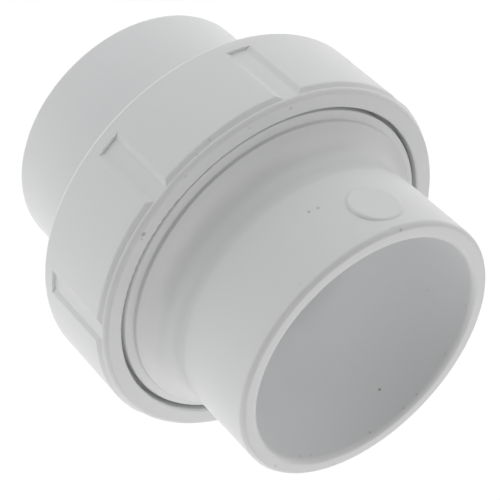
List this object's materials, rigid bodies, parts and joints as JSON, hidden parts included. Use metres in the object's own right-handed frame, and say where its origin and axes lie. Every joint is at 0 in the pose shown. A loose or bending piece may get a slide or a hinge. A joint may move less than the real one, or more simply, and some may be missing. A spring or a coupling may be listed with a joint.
{
  "type": "socket union fitting",
  "caption": "Pipe union with plain solvent-weld sockets at both ends, a grooved union nut on a coarse thread, and an O-ring face seal.",
  "frame": {"origin": "centre of the threaded end's socket mouth, the face that the fitting stands on", "axes": "+Z along the flow axis, from the threaded end's socket up to the tail end's socket; +X and +Y each pass through the middle of a grip groove of the nut"},
  "size_m": [0.1002, 0.1002, 0.099],
  "materials": {
    "pvc_body": "moulded white PVC-U, satin sheen",
    "pvc_nut": "moulded white PVC-U, satin sheen",
    "seal_rubber": "black EPDM, matt"
  },
  "bodies": {
    "threaded_end": {"threaded_end": "pvc_body"},
    "seal_carriage": {"o_ring": "seal_rubber"},
    "union_nut": {"union_nut": "pvc_nut"},
    "tail_end": {"tail_end": "pvc_body"}
  },
  "joints": [
    {"name": "seal_lift", "type": "slide", "parent": "threaded_end", "child": "seal_carriage", "axis": [0, 0, 1], "range_m": [0, 0.017]},
    {"name": "nut_turn", "type": "hinge", "parent": "seal_carriage", "child": "union_nut", "pos_m": [0, 0, 0.049], "axis": [0, 0, 1], "range_deg": [0, 1530]},
    {"name": "tail_swivel", "type": "hinge", "parent": "seal_carriage", "child": "tail_end", "pos_m": [0, 0, 0.0558], "axis": [0, 0, 1], "continuous": true}
  ],
  "couplings": [
    {"joint": "seal_lift", "follows": "nut_turn", "m_per_rad": 0.00063662}
  ]
}
